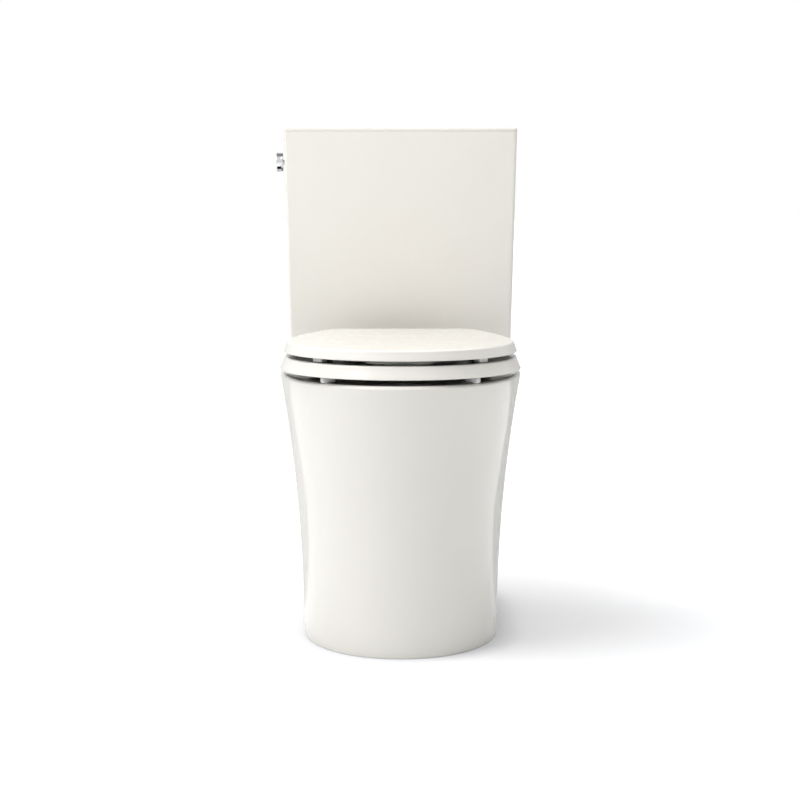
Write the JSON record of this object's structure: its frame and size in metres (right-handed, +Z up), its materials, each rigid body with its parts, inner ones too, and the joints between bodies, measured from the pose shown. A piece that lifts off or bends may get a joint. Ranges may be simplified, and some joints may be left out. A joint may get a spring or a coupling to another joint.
{
  "type": "two-piece toilet",
  "caption": "Floor-standing two-piece toilet with a skirted elongated bowl, a tank with a side lever, and a hinged seat and lid.",
  "frame": {"origin": "on the floor, at the front of the bowl's foot, in the middle of the width of the flat ring that stands on the floor, on the plane of symmetry of the bowl", "axes": "+Z up, +Y from the front to the back, where the wall is, and +X to the right as seen by someone who faces the toilet"},
  "size_m": [0.3967, 0.724, 0.787],
  "materials": {
    "china": "glossy warm white glaze",
    "seat_plastic": "glossy warm white plastic",
    "chrome": "polished",
    "white_plastic": "moulded",
    "grey_plastic": "moulded",
    "blue_plastic": "moulded",
    "clear_vinyl": "flexible vinyl",
    "bumper_vinyl": "soft moulded",
    "black_rubber": "matte",
    "red_rubber": "matte",
    "brass": "plain",
    "steel": "zinc plated"
  },
  "bodies": {
    "base": {"bowl": "china", "tank": "china", "tank_gasket": "black_rubber", "tank_bolt_left": "brass", "tank_bolt_right": "brass", "tank_bolt_washer_left": "black_rubber", "tank_bolt_washer_right": "black_rubber", "tank_nut_left": "brass", "tank_nut_right": "brass", "flush_valve_body": "white_plastic", "flush_valve_washer": "black_rubber", "flush_valve_nut": "grey_plastic", "guide_post_cap": "blue_plastic", "fill_valve_body": "white_plastic", "fill_valve_head": "grey_plastic", "fill_valve_washer": "black_rubber", "fill_valve_nut": "white_plastic", "float_stop": "white_plastic", "refill_tube": "clear_vinyl", "lever_bushing": "white_plastic", "lever_nut": "grey_plastic", "hinge_post_left": "seat_plastic", "hinge_post_right": "seat_plastic", "hinge_pin_left": "steel", "hinge_pin_right": "steel", "seat_bolt_left": "steel", "seat_bolt_right": "steel", "seat_washer_left": "black_rubber", "seat_washer_right": "black_rubber", "seat_nut_left": "white_plastic", "seat_nut_right": "white_plastic", "anchor_bracket_left": "steel", "anchor_bracket_right": "steel", "anchor_screw_left": "steel", "anchor_screw_right": "steel", "anchor_cap_left": "seat_plastic", "anchor_cap_right": "seat_plastic"},
    "tank_cover": {"tank_lid": "china"},
    "lever": {"flush_lever": "chrome", "trip_arm": "brass"},
    "canister_group": {"canister": "grey_plastic", "canister_seal": "red_rubber", "lift_strap": "blue_plastic"},
    "float": {"float_ring": "grey_plastic"},
    "seat": {"seat_ring": "seat_plastic", "seat_bumper_front_left": "bumper_vinyl", "seat_bumper_front_right": "bumper_vinyl", "seat_bumper_rear_left": "bumper_vinyl", "seat_bumper_rear_right": "bumper_vinyl"},
    "lid": {"seat_lid": "seat_plastic", "lid_bumper_front_left": "bumper_vinyl", "lid_bumper_front_right": "bumper_vinyl", "lid_bumper_rear_left": "bumper_vinyl", "lid_bumper_rear_right": "bumper_vinyl"}
  },
  "joints": [
    {"name": "seat_hinge", "type": "hinge", "parent": "base", "child": "seat", "pos_m": [0, 0.3775, 0.437], "axis": [-1, 0, 0], "range_deg": [0, 95]},
    {"name": "lid_hinge", "type": "hinge", "parent": "seat", "child": "lid", "pos_m": [0, 0.3775, 0.437], "axis": [1, 0, 0], "range_deg": [-95, 0]},
    {"name": "flush_lever_hinge", "type": "hinge", "parent": "base", "child": "lever", "pos_m": [-0.1903, 0.5075, 0.7315], "axis": [0.9997, 0, 0.0264], "range_deg": [0, 22], "stiffness_Nm_per_rad": 0.1, "springref_deg": -28.65},
    {"name": "canister_lift", "type": "slide", "parent": "base", "child": "canister_group", "axis": [0, 0, 1], "range_m": [0, 0.0199]},
    {"name": "tank_lid_lift", "type": "slide", "parent": "base", "child": "tank_cover", "axis": [0, 0, 1], "range_m": [0, 0.06]},
    {"name": "float_rise", "type": "slide", "parent": "base", "child": "float", "axis": [0, 0, 1], "range_m": [0, 0.06]}
  ],
  "couplings": [
    {"joint": "canister_lift", "follows": "flush_lever_hinge", "m_per_rad": 0.0517}
  ]
}
